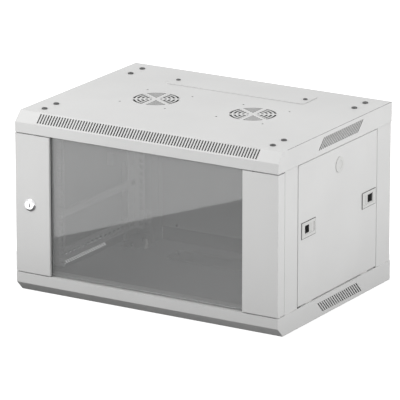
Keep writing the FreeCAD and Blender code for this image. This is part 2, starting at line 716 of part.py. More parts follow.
def side_panel():
    outer = box(PANEL_EDGE, WEB_X, PANEL_Y0, PANEL_Y1, LOW_Z, HIGH_Z)
    rim = []
    for edge in outer.Edges:
        if min(p.Point.x for p in edge.Vertexes) > WEB_X - 0.01:
            rim.append(edge)
    outer = outer.makeFillet(BEND_R + PANEL_T, rim)
    t = PANEL_T
    inner = box(PANEL_EDGE - 1.0, WEB_X - t, PANEL_Y0 + t, PANEL_Y1 - t, LOW_Z + t, HIGH_Z - t)
    rim = []
    for edge in inner.Edges:
        if min(p.Point.x for p in edge.Vertexes) > WEB_X - t - 0.01:
            rim.append(edge)
    inner = inner.makeFillet(BEND_R, rim)
    cuts = []
    u = LATCH_L / 2.0 - 1.0
    v = LATCH_H / 2.0 - 2.2
    for y in (LATCH_FRONT_Y, LATCH_REAR_Y):
        cuts.append(box(WEB_X - 5.0, WEB_X + 1.0, y - u, y + u, LATCH_Z - v, LATCH_Z + v))
    cuts.append(rod(CAP_R * 0.7 + FIT, V(WEB_X - 5.0, CAP_Y, CAP_Z), V(1, 0, 0), 10.0))
    return outer.cut(inner).cut(cuts)


def latch(y, way):
    """frame and slide of a latch; way is the direction of its post"""
    def place(shape):
        if way < 0:
            shape = shape.mirror(V(0, 0, 0), V(0, 1, 0))
        shape.translate(V(0, y, LATCH_Z))
        return shape
    half_l = LATCH_L / 2.0
    half_h = LATCH_H / 2.0
    face0 = WEB_X + SEAT
    face1 = HALF_W - 0.1
    well = half_l - 1.25
    high = half_h - 2.5
    hollow = well - LATCH_WALL
    low_x = WEB_X - LATCH_IN
    floor = low_x + LATCH_WALL
    slide_l = 2.0 * hollow - LATCH_TRAVEL - 2.0 * SEAT
    slide0 = -hollow + SEAT
    slide1 = slide0 + slide_l
    tip = half_l + 1.4
    tongue_x1 = LAND_X - POST_T - 2.0 * SEAT
    tongue_x0 = tongue_x1 - 3.0
    tongue_h = 8.0
    bezel = box(face0, face1, -half_l, half_l, -half_h, half_h)
    tube = box(low_x, face0 + 0.1, -well, well, -high, high)
    frame = join([bezel, tube])
    cuts = [box(floor, face0, -hollow, hollow, -high + LATCH_WALL, high - LATCH_WALL)]
    window0 = slide0 + 1.2
    window1 = slide1 - 1.2
    cuts.append(box(face0 - 1.0, face1 + 1.0, window0, window1, -high + 3.0, high - 3.0))
    cuts.append(box(floor, tongue_x1 + SEAT, hollow - 1.0, well + 1.0, -tongue_h - 0.5, tongue_h + 0.5))
    frame = frame.cut(cuts)
    block_h = high - LATCH_WALL - SEAT
    block = box(floor + SEAT, face0 - SEAT, slide0, slide1, -block_h, block_h)
    tongue = box(tongue_x0, tongue_x1, slide1 - 1.0, tip, -tongue_h, tongue_h)
    slide = join([block, tongue])
    recess1 = slide1 - RECESS_LAND
    recess0 = recess1 - RECESS_L
    recess_z = RECESS_H / 2.0
    cuts = [box(face0 - RECESS_IN, face0 + 1.0, recess0, recess1, -recess_z, recess_z)]
    groove = recess0 - GROOVE_OFF
    groove_z = recess_z + GROOVE_LONGER
    cuts.append(box(face0 - GROOVE_W, face0 + 1.0, groove - GROOVE_W / 2.0, groove + GROOVE_W / 2.0,
                    -groove_z, groove_z))
    slide = slide.cut(cuts)
    return place(frame), place(slide)


panel = side_panel()
front_frame, front_slide = latch(LATCH_FRONT_Y, -1)
rear_frame, rear_slide = latch(LATCH_REAR_Y, 1)
disc = rod(CAP_R, V(WEB_X + SEAT, CAP_Y, CAP_Z), V(1, 0, 0), HALF_W - 0.1 - WEB_X - SEAT)
stem = rod(CAP_R * 0.7, V(WEB_X - 6.0, CAP_Y, CAP_Z), V(1, 0, 0), 6.5)
dish = rod(CAP_R * 0.55, V(HALF_W - 0.7, CAP_Y, CAP_Z), V(1, 0, 0), 2.0)
cap = join([disc, stem]).cut(dish)
for side in ("right", "left"):
    def put(shape, turned=(side == "left")):
        return across(shape) if turned else shape
    save("side_panel_" + side, put(panel))
    save("latch_frames_" + side, put(group([front_frame, rear_frame])))
    save("front_latch_slide_" + side, put(front_slide))
    save("rear_latch_slide_" + side, put(rear_slide))
    save("side_lock_cap_" + side, put(cap))

pads = []
pad = GLIDE_L / 2.0
for y in (PANEL_Y0 + GLIDE_IN, PANEL_Y1 - GLIDE_IN):
    pads.append(box(LAND_X + 2.0, WEB_X - 2.0, y - pad, y + pad, TRAY_H + SEAT, LOW_Z - SEAT))
save("side_panel_glides", group(both_sides(pads)))

# door

STRIP_X = HALF_W - STRIP_W
LIP_Y = FRONT + GLASS_SET
GLASS_Y0 = LIP_Y + SEAL_T + SEAT
GLASS_Y1 = GLASS_Y0 + GLASS_T
CLAMP_Y = GLASS_Y1 + SEAL_T + SEAT
CLAMP_Y1 = CLAMP_Y + RETAINER_T
GLASS_X = STRIP_X + GLASS_LAP
STUD_X = GLASS_X + STUD_OUT
RETAINER_X0 = STRIP_X + 2.0
RETAINER_X1 = RETAINER_X0 + RETAINER_W


def door_strip():
    points = [(STRIP_X + GLASS_LIP, LIP_Y), (STRIP_X, LIP_Y), (STRIP_X, FRONT), (HALF_W, FRONT)]
    points = points + [(HALF_W, FRONT + DOOR_D), (HALF_W - STRIP_LIP, FRONT + DOOR_D)]
    strip = folded(points, DOOR_T, lambda u, v: V(u, v, LOW_Z), V(0, 0, HIGH_Z - LOW_Z))
    mid = DOOR_T / 2.0
    end_y = FRONT + DOOR_D - DOOR_T
    ends = []
    for z in (LOW_Z, HIGH_Z - DOOR_T):
        ends.append(box(RETAINER_X1 + 1.0, HALF_W - mid, FRONT + mid, end_y, z, z + DOOR_T))
    return join([strip] + ends)


strip = door_strip()
lock_hole = rod(BARREL_R + FIT, V(LOCK_CX, FRONT - 1.0, LOCK_Z), V(0, 1, 0), 5.0)
save("door_lock_strip", across(strip).cut(lock_hole))
hinge_hole = rod(PIN_R + FIT, V(HINGE_X, HINGE_Y, LOW_Z - 1.0), V(0, 0, 1), HIGH_Z - LOW_Z + 2.0)
save("door_hinge_strip", strip.cut(hinge_hole))

glass_z0 = LOW_Z + 0.5
glass_z1 = HIGH_Z - 0.5
save("door_glass", box(-GLASS_X, GLASS_X, GLASS_Y0, GLASS_Y1, glass_z0, glass_z1))

seal_x0 = STRIP_X + 1.0
seal_x1 = GLASS_X - 2.5
gap = SEAT / 2.0
seals = [box(seal_x0, seal_x1, LIP_Y + gap, GLASS_Y0 - gap, glass_z0, glass_z1)]
seals.append(box(seal_x0 + 1.5, seal_x1, GLASS_Y1 + gap, CLAMP_Y - gap, glass_z0 + 5.0, glass_z1 - 5.0))
save("glass_seals", group(both_sides(seals)))

points = [(RETAINER_X1, FRONT + DOOR_T + SEAT), (RETAINER_X1, CLAMP_Y1), (RETAINER_X0, CLAMP_Y1)]
clamp_z0 = LOW_Z + 5.0
clamp = folded(points, RETAINER_T, lambda u, v: V(u, v, clamp_z0), V(0, 0, HEIGHT - 2.0 * clamp_z0))
cuts = []
studs = []
nuts = []
for z in STUD_Z:
    cuts.append(rod(STUD_R + FIT, V(STUD_X, CLAMP_Y - 1.0, z), V(0, 1, 0), RETAINER_T + 2.0))
    studs.append(rod(STUD_R, V(STUD_X, FRONT + DOOR_T, z), V(0, 1, 0), CLAMP_Y1 + 5.0 - FRONT - DOOR_T))
    nuts.append(hex_nut(V(STUD_X, CLAMP_Y1 + SEAT, z), V(0, 1, 0), 7.0, 3.2, STUD_R + 0.1))
clamp = clamp.cut(cuts)
save("glass_retainer_right", clamp)
save("glass_retainer_left", across(clamp))
save("glass_retainer_studs", group(both_sides(studs)))
save("glass_retainer_nuts", group(both_sides(nuts)))

# hinge

shelf_x0 = HALF_W - DOOR_T - SEAT - BRACKET_W
shelf_x1 = HALF_W - DOOR_T - SEAT
shelf_y0 = FRONT + DOOR_T + SEAT
shelf_y1 = FRONT + DOOR_D - DOOR_T - 2.0


def bracket(z0, leg):
    z1 = z0 + BRACKET_T
    shelf = box(shelf_x0, shelf_x1, shelf_y0, shelf_y1, z0, z1)
    reach = 16.0
    low = min(z0, z1 + leg * reach)
    high = max(z1, z0 + leg * reach)
    plate = box(shelf_x0, shelf_x1, shelf_y0, shelf_y0 + BRACKET_T, low, high)
    hole = rod(PIN_R + FIT, V(HINGE_X, HINGE_Y, low - 1.0), V(0, 0, 1), high - low + 2.0)
    return join([shelf, plate]).cut(hole)


low_shelf = LOW_Z + DOOR_T + SEAT
top_shelf = HIGH_Z - DOOR_T - SEAT - BRACKET_T
guide_z = HIGH_Z - GUIDE_DOWN
save("hinge_brackets", group([bracket(low_shelf, 1), bracket(top_shelf, -1), bracket(guide_z, -1)]))

up = V(0, 0, 1)
foot_z = TRAY_H - TRAY_T - SEAT
pin = rod(PIN_R, V(HINGE_X, HINGE_Y, foot_z - 2.0), up, low_shelf + BRACKET_T + 5.0 - foot_z + 2.0)
foot = rod(PIN_R + 1.6, V(HINGE_X, HINGE_Y, foot_z - 2.0), up, 2.0)
save("lower_hinge_pin", join([pin, foot]))
washer = rod(PIN_R + 1.8, V(HINGE_X, HINGE_Y, TRAY_H + SEAT), up, LINE - 2.0 * SEAT)
hole = rod(PIN_R + FIT, V(HINGE_X, HINGE_Y, TRAY_H), up, LINE)
save("hinge_washer", washer.cut(hole))

collar_r = PIN_R + 1.3
collar_z = top_shelf - SEAT - COLLAR_H
tip_z = HIGH_Z + PIN_TRAVEL - 0.5
knob_z = guide_z - BRACKET_T - KNOB_DOWN
shaft = rod(PIN_R, V(HINGE_X, HINGE_Y, knob_z), up, tip_z - 1.5 - knob_z)
point = Part.makeCone(PIN_R, PIN_R - 1.2, 1.5, V(HINGE_X, HINGE_Y, tip_z - 1.5), up)
collar = rod(collar_r, V(HINGE_X, HINGE_Y, collar_z), up, COLLAR_H)
knob = rod(collar_r, V(HINGE_X, HINGE_Y, knob_z + 1.0 - KNOB_H), up, KNOB_H)
save("upper_hinge_pin", join([shaft, point, collar, knob]))

spring_r = PIN_R + FIT + SPRING_WIRE_R + 0.1
spring_z0 = guide_z + BRACKET_T + SPRING_WIRE_R + 0.1
spring_h = collar_z - SPRING_WIRE_R - 0.1 - spring_z0
helix = Part.makeHelix(spring_h / SPRING_TURNS, spring_h, spring_r)
wire = Part.Wire([helix])
ring = Part.makeCircle(SPRING_WIRE_R, V(spring_r, 0, 0), V(0, 1, 0))
spring = wire.makePipeShell([Part.Wire([ring])], True, True)
spring.translate(V(HINGE_X, HINGE_Y, spring_z0))
save("hinge_pin_spring", spring)

# lock

back = V(0, 1, 0)
at = V(LOCK_CX, FRONT - SEAT, LOCK_Z)
bezel = rod(BEZEL_R, at - back * BEZEL_T, back, BEZEL_T)
front_edge = [e for e in bezel.Edges if e.BoundBox.YMax < FRONT - SEAT - BEZEL_T + 0.01]
bezel = bezel.makeFillet(1.2, front_edge)
barrel = rod(BARREL_R, at, back, BARREL_L)
bore = rod(PLUG_R + SEAT, at - back * 5.0, back, BARREL_L + 10.0)
save("lock_housing", join([bezel, barrel]).cut(bore))
nut_at = V(LOCK_CX, FRONT + DOOR_T + SEAT, LOCK_Z)
save("lock_nut", hex_nut(nut_at, back, LOCK_NUT_FLATS, LOCK_NUT_H, BARREL_R + 0.1))

cam_back = POST_Y0 + POST_T + 3.5
cam_front = FRONT + BARREL_L + SEAT + CAM_T
plug_y = FRONT - SEAT - BEZEL_T + 0.4
plug = rod(PLUG_R, V(LOCK_CX, plug_y, LOCK_Z), back, FRONT + BARREL_L - plug_y)
square = 3.5
tail = box(LOCK_CX - square, LOCK_CX + square, FRONT + BARREL_L - 1.0, cam_front - 0.3,
           LOCK_Z - square, LOCK_Z + square)
key = box(LOCK_CX - 1.1, LOCK_CX + 1.1, plug_y - 1.0, plug_y + 7.0, LOCK_Z - 4.0, LOCK_Z + 4.0)
hole_at = V(LOCK_CX, cam_front - CAM_SCREW_L - 1.0, LOCK_Z)
screw_hole = rod(CAM_SCREW_R + 0.1, hole_at, back, 2.0 * CAM_SCREW_L)
save("lock_plug", join([plug, tail]).cut([key, screw_hole]))
points = [(LOCK_Z + CAM_TAIL, cam_front), (LOCK_Z - CAM_FLAT, cam_front)]
points = points + [(LOCK_Z - CAM_STEP, cam_back), (LOCK_Z - CAM_L, cam_back)]
cam = folded(points, CAM_T, lambda u, v: V(LOCK_CX - CAM_W / 2.0, v, u), V(CAM_W, 0, 0), 1.0)
size = square + SEAT / 2.0
square_hole = box(LOCK_CX - size, LOCK_CX + size, cam_front - 5.0, cam_front + 5.0,
                  LOCK_Z - size, LOCK_Z + size)
save("lock_cam", cam.cut(square_hole))
cam_screw_at = V(LOCK_CX, cam_front + SEAT, LOCK_Z)
cam_screw = bolt(cam_screw_at, back * -1.0, CAM_SCREW_L, CAM_SCREW_HEAD_R, CAM_SCREW_R, CAM_SCREW_R)
save("lock_cam_screw", cam_screw)

# door buffers on the left post, earth stud in the base

buffers = []
for z in (LOW_Z + BUFFER_END, HIGH_Z - BUFFER_END):
    at = V(-HALF_W + DOOR_T + STRIP_LIP / 2.0, POST_Y0 - SEAT, z)
    buffers.append(rod(BUFFER_R, at, V(0, -1, 0), DOOR_BACK - 2.0 * SEAT))
save("door_buffers", group(buffers))

earth = V(EARTH_IN - HALF_W, REAR - EARTH_BACK, TRAY_T)
save("earth_stud", rod(BOLT_R, earth, up, EARTH_L))
save("earth_nut", hex_nut(earth + up * SEAT, up, NUT_FLATS, NUT_H, BOLT_R + 0.1))
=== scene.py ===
import json
import math

import bmesh
import bpy
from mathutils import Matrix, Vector


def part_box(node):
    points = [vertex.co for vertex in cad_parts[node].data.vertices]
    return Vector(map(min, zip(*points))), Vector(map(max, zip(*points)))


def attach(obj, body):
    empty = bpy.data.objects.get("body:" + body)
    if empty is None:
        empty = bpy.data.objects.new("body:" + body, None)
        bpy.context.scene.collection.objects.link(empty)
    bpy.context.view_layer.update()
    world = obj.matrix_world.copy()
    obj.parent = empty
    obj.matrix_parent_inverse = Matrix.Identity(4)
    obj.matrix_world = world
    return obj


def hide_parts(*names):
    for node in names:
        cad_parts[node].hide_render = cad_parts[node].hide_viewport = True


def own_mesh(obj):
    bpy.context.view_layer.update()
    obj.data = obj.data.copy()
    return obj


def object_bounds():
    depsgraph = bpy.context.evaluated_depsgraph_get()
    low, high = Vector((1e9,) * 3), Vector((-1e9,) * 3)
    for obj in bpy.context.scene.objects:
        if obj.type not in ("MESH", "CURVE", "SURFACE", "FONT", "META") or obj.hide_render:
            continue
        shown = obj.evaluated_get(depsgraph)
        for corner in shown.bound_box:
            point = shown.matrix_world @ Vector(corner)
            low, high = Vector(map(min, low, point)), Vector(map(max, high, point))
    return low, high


bl_info = {
    "name": "Wall mount network cabinet",
    "version": (1, 0, 0),
    "blender": (4, 5, 0),
    "location": "3D View > Sidebar > Cabinet",
    "description": "Finishes, screws, lock and latches of a wall mount network cabinet",
    "category": "Object",
}

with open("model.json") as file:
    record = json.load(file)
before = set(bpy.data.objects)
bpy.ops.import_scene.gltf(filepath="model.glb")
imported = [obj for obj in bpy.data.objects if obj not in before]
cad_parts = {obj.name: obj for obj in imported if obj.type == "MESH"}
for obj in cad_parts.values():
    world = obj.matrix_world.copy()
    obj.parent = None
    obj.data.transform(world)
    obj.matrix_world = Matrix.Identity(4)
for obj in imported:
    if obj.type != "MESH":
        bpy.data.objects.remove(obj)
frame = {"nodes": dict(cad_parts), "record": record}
NODES = frame["nodes"]
CAD_BOX = [list(v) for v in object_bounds()]
MIDDLE_HEIGHT = (CAD_BOX[0][2] + CAD_BOX[1][2]) / 2.0

# Lengths are in metres. A share is a part of the size that its comment names.

# roof and base
INSIDE_PAINTED_SHADE = 0.48            # painted shade on their inside: inner faces darkened to this share of the outer tone
TRAY_SLOPE = 0.035          # depth of their sloped front edge
TRAY_SKIN = 0.0001          # layer under their outer faces that keeps the outer tone, free of the painted shade

# scale of the marks in each finish
CLOUDS = 7.0
ORANGE_PEEL = 1400.0
SPANGLES = 900.0
SCRATCHES = 2200.0
WIPE_MARKS = 600.0
MOULD_GRAIN = 900.0
RUBBER_GRAIN = 1500.0
GLASS_HAZE = 3.0
PAINTED_EDGE = 0.0009       # radius that the edges of painted sheet seem to have
GLASS_IOR = 1.7

# screws
HEAD_SIDES = 40
HEAD_HEIGHT = 0.42          # share of the head's radius
CROWN_MOST = 0.8            # share of the head's height
CROSS_HEAD = 0.0058         # head radius that the width of the cross recess is given for
CROSS_REACH = 0.55          # share of the head's radius
CROSS_FLOOR = 0.35          # share of the head's height
CROSS_TAPER = 0.7           # floor of the recess, a share of its mouth
SHANK_SIDES = 24
SHANK_RADIUS = 0.42         # share of the head's radius
SCREW_PITCH = 0.0008
SCREW_ROOT = 0.88           # bottom of the thread, a share of the shank's radius
TURNS = {"z": (0.0, 0.0, 0.0), "-z": (math.pi, 0.0, 0.0), "y": (-math.pi / 2.0, 0.0, 0.0)}

# door lock
SEAT = 0.0002               # play behind the bezel and round the plug
LOCK_SIDES = 72
LOCK_RIM = 0.013
LOCK_BARREL = 0.0095
BEZEL_EDGE = 0.25           # straight edge, a share of the bezel's height
BEZEL_DOME = ((0.10, 0.30), (0.22, 0.25), (0.28, 0.16), (0.22, 0.04))   # shares of its width and height
BEZEL_FLAT = 0.18           # flat round the bore, a share of the bezel's width
BEZEL_DIP = 0.1             # step down at the bore, a share of the bezel's height
BEZEL_STEP = 0.0001         # width of that step
BARREL_START = 0.0005       # plain barrel behind the bezel
BARREL_END = 0.001          # plain barrel at both ends together
BARREL_ROOT = 0.94          # bottom of the thread, a share of the barrel's radius

# side latches
# the rubber ring round each latch face is dark so that it also stands in for painted shade in the gap round
# it
SHADE_GASKET_DEPTH = 0.0012
SHADE_GASKET_BACK = 0.00015       # behind the face of its latch
SHADE_GASKET_PLAY = 0.00005       # round the frame of its latch
SHADE_GASKET_ROUND = 0.00012
CUP_FROM_TIP = 0.01315
CUP_DEPTH = 0.009
CUP_LENGTH = 0.018
CUP_HALF_HEIGHT = 0.008
CUP_ROOM = 0.00015          # play between the cup and its slide
RIB_HEIGHT = 0.0011         # above the floor of the cup
RIB_SHORTER = 0.0022        # at each end, from the cup's wall
RIB_HALF_WIDTH = 0.24       # share of the ribs' pitch
RIB_TOP = (1.0, 0.45, 0.94)     # top face of a rib, shares of its foot

# hinge spring
WIRE_SIDES = 12
COIL_STEPS = 28             # to the turn

# stage
FLOOR_SIZE = 24.0
FLOOR_TONE = 0.5
CARD_EDGE = ((-0.433, -0.543, 0.002), (-0.24, -0.99, 0.002))
CARD_WIDTH = 1.3
CARD_LENGTH = 2.2
CARD_GLOW = (0.04, 0.9)     # at its near edge and at its far edge
CLOTH_WIDER = 0.15          # than the cabinet, on each side
CLOTH_HEIGHT = 0.0005
CLOTH_TONE = 0.1
LAMPS = (                   # name, setting of its strength, place, aim, size
    ("lamp_over_roof", "key", (-0.6, -0.4, 2.6), (0.0, 0.0, 0.2), 2.4),
    ("lamp_on_the_right", "side", (2.3, -0.1, 0.75), (0.0, 0.0, 0.2), 1.2),
    ("lamp_in_front", "front", (-1.25, -1.75, 1.3), (-0.2, -0.2, 0.25), 1.0),
)
CAMERA_PLACE = (4.0774, -6.7734, 2.5031)
CAMERA_DOWN = 16.392        # degrees below the level
CAMERA_ROUND = 31.107       # degrees round from the front
CAMERA_LENS = 373.17
CAMERA_SENSOR = 36.0


class FinishSettings(bpy.types.PropertyGroup):
    paint: bpy.props.FloatVectorProperty(
        name="Paint", description="Powder coat of the housing", subtype="COLOR", size=3,
        default=(0.665, 0.665, 0.66), min=0.0, max=1.0)
    inner_paint: bpy.props.FloatVectorProperty(
        name="Inner paint", description="Coat of the rails, braces and clamps", subtype="COLOR", size=3,
        default=(0.88, 0.88, 0.875), min=0.0, max=1.0)
    glass: bpy.props.FloatVectorProperty(
        name="Glass", description="Tint of the door glass", subtype="COLOR", size=3,
        default=(0.35, 0.355, 0.355), min=0.0, max=1.0)
    glass_depth: bpy.props.FloatProperty(
        name="Glass depth", description="How much of the light each face of the door glass holds back",
        default=0.42, min=0.0, max=1.0, subtype="FACTOR")
    zinc: bpy.props.FloatVectorProperty(
        name="Zinc", description="Plated bolts, nuts and hinge pins", subtype="COLOR", size=3,
        default=(0.55, 0.54, 0.52), min=0.0, max=1.0)
    dark_zinc: bpy.props.FloatVectorProperty(
        name="Dark zinc", description="Screws of the roof, base and rear", subtype="COLOR", size=3,
        default=(0.11, 0.11, 0.11), min=0.0, max=1.0)
    chrome: bpy.props.FloatVectorProperty(
        name="Chrome", description="Polished lock", subtype="COLOR", size=3,
        default=(0.82, 0.82, 0.83), min=0.0, max=1.0)
    rubber: bpy.props.FloatVectorProperty(
        name="Rubber", description="Glass seal and door buffers", subtype="COLOR", size=3,
        default=(0.05, 0.05, 0.051), min=0.0, max=1.0)
    latch: bpy.props.FloatVectorProperty(
        name="Latch", description="Moulded side latches", subtype="COLOR", size=3,
        default=(0.62, 0.62, 0.61), min=0.0, max=1.0)
    nylon: bpy.props.FloatVectorProperty(
        name="Nylon", description="Glides and washer", subtype="COLOR", size=3,
        default=(0.72, 0.72, 0.70), min=0.0, max=1.0)


class ScrewSettings(bpy.types.PropertyGroup):
    crown: bpy.props.FloatProperty(
        name="Crown", description="Rounding of a pan head", default=0.0016,
        min=0.0005, max=0.003, unit="LENGTH")
    recess: bpy.props.FloatProperty(
        name="Cross recess", description="Width of one arm of the cross in a screw head",
        default=0.0011, min=0.0005, max=0.003, unit="LENGTH")


class GlassSettings(bpy.types.PropertyGroup):
    edge: bpy.props.FloatProperty(
        name="Ground edge", description="Chamfer round the pane", default=0.0006,
        min=0.0001, max=0.002, unit="LENGTH")


class LatchSettings(bpy.types.PropertyGroup):
    # the gasket is black rubber whose dark also stands in for painted shade in the gap round the latch face
    ring: bpy.props.FloatProperty(
        name="Shade gasket", description="Rubber ring round the face of a side latch", default=0.0009,
        min=0.0003, max=0.003, unit="LENGTH")
    wall: bpy.props.FloatProperty(
        name="Thumb cup wall", description="Wall of the dark cup in a side latch", default=0.0006,
        min=0.0003, max=0.002, unit="LENGTH")
    ribs: bpy.props.IntProperty(
        name="Thumb ribs", description="Grip ribs in a side latch", default=4, min=2, max=8)


class LockSettings(bpy.types.PropertyGroup):
    thread: bpy.props.FloatProperty(
        name="Thread pitch", description="Pitch of the thread on the lock body", default=0.0012,
        min=0.0005, max=0.003, unit="LENGTH")


class SpringSettings(bpy.types.PropertyGroup):
    wire: bpy.props.FloatProperty(
        name="Wire radius", description="Radius of the spring wire of the hinge pin", default=0.0006,
        min=0.0003, max=0.001, unit="LENGTH")
    turns: bpy.props.IntProperty(
        name="Turns", description="Turns of the spring of the hinge pin", default=6, min=3, max=9)


class StageSettings(bpy.types.PropertyGroup):
    key: bpy.props.FloatProperty(
        name="Main lamp", description="Strength of the large lamp over the roof", default=6.0,
        min=0.0, max=500.0)
    side: bpy.props.FloatProperty(
        name="Side lamp", description="Strength of the lamp on the right", default=18.0, min=0.0, max=500.0)
    front: bpy.props.FloatProperty(
        name="Front lamp", description="Strength of the lamp in front", default=21.5, min=0.0, max=500.0)
    world: bpy.props.FloatProperty(
        name="Room light", description="Even light from all round", default=0.73, min=0.0, max=2.0)


def new_material(name):
    """an empty material with one principled shader"""
    material = bpy.data.materials.new(name)
    material.use_nodes = True
    nodes = material.node_tree.nodes
    nodes.clear()
    out = nodes.new("ShaderNodeOutputMaterial")
    shader = nodes.new("ShaderNodeBsdfPrincipled")
    material.node_tree.links.new(shader.outputs["BSDF"], out.inputs["Surface"])
    return material, shader


def object_place(material, scale=(1.0, 1.0, 1.0)):
    """place on the piece itself, drawn out by scale"""
    nodes = material.node_tree.nodes
    place = nodes.new("ShaderNodeTexCoord")
    mapping = nodes.new("ShaderNodeMapping")
    mapping.inputs["Scale"].default_value = scale
    material.node_tree.links.new(place.outputs["Object"], mapping.inputs["Vector"])
    return mapping.outputs["Vector"]


def noise(material, vector, scale, detail=3.0, roughness=0.5):
    node = material.node_tree.nodes.new("ShaderNodeTexNoise")
    node.inputs["Scale"].default_value = scale
    node.inputs["Detail"].default_value = detail
    node.inputs["Roughness"].default_value = roughness
    material.node_tree.links.new(vector, node.inputs["Vector"])
    return node.outputs["Fac"]


def shaded(material, factor, low, high):
    """colour between two tones"""
    node = material.node_tree.nodes.new("ShaderNodeValToRGB")
    for element, position, color in zip(node.color_ramp.elements, (0.3, 0.7), (low, high)):
        element.position = position
        element.color = (*color, 1.0)
    material.node_tree.links.new(factor, node.inputs["Fac"])
    return node.outputs["Color"]


def spread(material, factor, low, high):
    """value between two limits"""
    node = material.node_tree.nodes.new("ShaderNodeMapRange")
    node.inputs["To Min"].default_value = low
    node.inputs["To Max"].default_value = high
    material.node_tree.links.new(factor, node.inputs["Value"])
    return node.outputs["Result"]


def grained(material, shader, factor, strength, distance, edge=0.0):
    """fine relief, and edges that catch the light as if rounded to the radius edge"""
    node = material.node_tree.nodes.new("ShaderNodeBump")
    node.inputs["Strength"].default_value = strength
    node.inputs["Distance"].default_value = distance
    material.node_tree.links.new(factor, node.inputs["Height"])
    material.node_tree.links.new(node.outputs["Normal"], shader.inputs["Normal"])
    if edge:
        rounded = material.node_tree.nodes.new("ShaderNodeBevel")
        rounded.samples = 4
        rounded.inputs["Radius"].default_value = edge
        material.node_tree.links.new(rounded.outputs["Normal"], node.inputs["Normal"])


def tone(color, gain):
    return tuple(min(1.0, max(0.0, c * gain)) for c in color)


def calculated(tree, operation, first, second):
    """one Math node on two values, of which the second may be a number"""
    node = tree.nodes.new("ShaderNodeMath")
    node.operation = operation
    tree.links.new(first, node.inputs[0])
    if isinstance(second, float):
        node.inputs[1].default_value = second
    else:
        tree.links.new(second, node.inputs[1])
    return node.outputs[0]


def within(material, low, high):
    """one inside a box, nought outside"""
    tree = material.node_tree
    value = tree.nodes.new("ShaderNodeTexCoord").outputs["Object"]
    middle = [(a + b) / 2.0 for a, b in zip(low, high)]
    half = [(b - a) / 2.0 for a, b in zip(low, high)]
    for operation, other in (("SUBTRACT", middle), ("ABSOLUTE", None), ("SUBTRACT", half)):
        node = tree.nodes.new("ShaderNodeVectorMath")
        node.operation = operation
        tree.links.new(value, node.inputs[0])
        if other:
            node.inputs[1].default_value = other
        value = node.outputs["Vector"]
    parts = tree.nodes.new("ShaderNodeSeparateXYZ")
    tree.links.new(value, parts.inputs["Vector"])
    most = calculated(tree, "MAXIMUM", parts.outputs["X"], parts.outputs["Y"])
    most = calculated(tree, "MAXIMUM", most, parts.outputs["Z"])
    return calculated(tree, "LESS_THAN", most, 0.0)


def tray(node):
    """box of a folded tray behind its sloped front edge, less its outer faces, where the painted shade goes
    """
    low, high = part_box(node)
    skin = Vector((TRAY_SKIN, TRAY_SKIN, TRAY_SKIN))
    return low + skin + Vector((0.0, TRAY_SLOPE, 0.0)), high - skin


def powder_coat(name, color, rough=0.5, inside=None):
    """fine orange peel with a faint cloudiness, and painted shade that darkens the coat inside a box"""
    material, shader = new_material(name)
    link = material.node_tree.links.new
    place = object_place(material)
    cloud = noise(material, place, CLOUDS, 2.0)
    coat = shaded(material, cloud, tone(color, 0.975), tone(color, 1.02))
    # painted shade: inside the box the coat is darkened, standing in for the shade in the trays and behind
    # the vents
    if inside:
        mix = material.node_tree.nodes.new("ShaderNodeMixRGB")
        mix.blend_type = "MULTIPLY"
        mix.inputs["Color2"].default_value = (INSIDE_PAINTED_SHADE, INSIDE_PAINTED_SHADE, INSIDE_PAINTED_SHADE, 1.0)
        link(within(material, *inside), mix.inputs["Fac"])
        link(coat, mix.inputs["Color1"])
        coat = mix.outputs["Color"]
    link(coat, shader.inputs["Base Color"])
    peel = noise(material, place, ORANGE_PEEL, 2.0, 0.6)
    link(spread(material, peel, rough - 0.06, rough + 0.06), shader.inputs["Roughness"])
    grained(material, shader, peel, 0.12, 0.0003, PAINTED_EDGE)
    shader.inputs["Specular IOR Level"].default_value = 0.35
    return material


def plated(name, color, rough=0.34):
    """zinc with fine scratches and small spangles"""
    material, shader = new_material(name)
    link = material.node_tree.links.new
    place = object_place(material)
    spangle = noise(material, place, SPANGLES, 4.0, 0.7)
    link(shaded(material, spangle, tone(color, 0.82), tone(color, 1.12)), shader.inputs["Base Color"])
    link(spread(material, spangle, rough - 0.08, rough + 0.14), shader.inputs["Roughness"])
    scratch = noise(material, object_place(material, (1.0, 9.0, 1.0)), SCRATCHES, 1.0)
    grained(material, shader, scratch, 0.15, 0.0002)
    shader.inputs["Metallic"].default_value = 1.0
    return material


def polished(name, color):
    """bright metal with faint wipe marks"""
    material, shader = new_material(name)
    link = material.node_tree.links.new
    wipe = noise(material, object_place(material), WIPE_MARKS, 3.0)
    link(shaded(material, wipe, tone(color, 0.94), tone(color, 1.04)), shader.inputs["Base Color"])
    link(spread(material, wipe, 0.08, 0.2), shader.inputs["Roughness"])
    shader.inputs["Metallic"].default_value = 1.0
    return material


def moulded(name, color, rough=0.55, grain=MOULD_GRAIN):
    """plastic or rubber with the fine grain of its mould"""
    material, shader = new_material(name)
    link = material.node_tree.links.new
    place = object_place(material)
    fine = noise(material, place, grain, 3.0, 0.65)
    link(shaded(material, fine, tone(color, 0.95), tone(color, 1.05)), shader.inputs["Base Color"])
    link(spread(material, fine, rough - 0.08, rough + 0.08), shader.inputs["Roughness"])
    grained(material, shader, fine, 0.2, 0.0003)
    return material


def tinted_glass(name, color, depth):
    """smoked pane: light passes straight through and the face keeps its sheen"""
    material, shader = new_material(name)
    link = material.node_tree.links.new
    haze = noise(material, object_place(material), GLASS_HAZE, 2.0)
    link(shaded(material, haze, tone(color, 0.96), tone(color, 1.04)), shader.inputs["Base Color"])
    shader.inputs["Roughness"].default_value = 0.03
    shader.inputs["IOR"].default_value = GLASS_IOR
    shader.inputs["Specular IOR Level"].default_value = 1.0
    shader.inputs["Alpha"].default_value = depth
    return material


FINISHES = {}


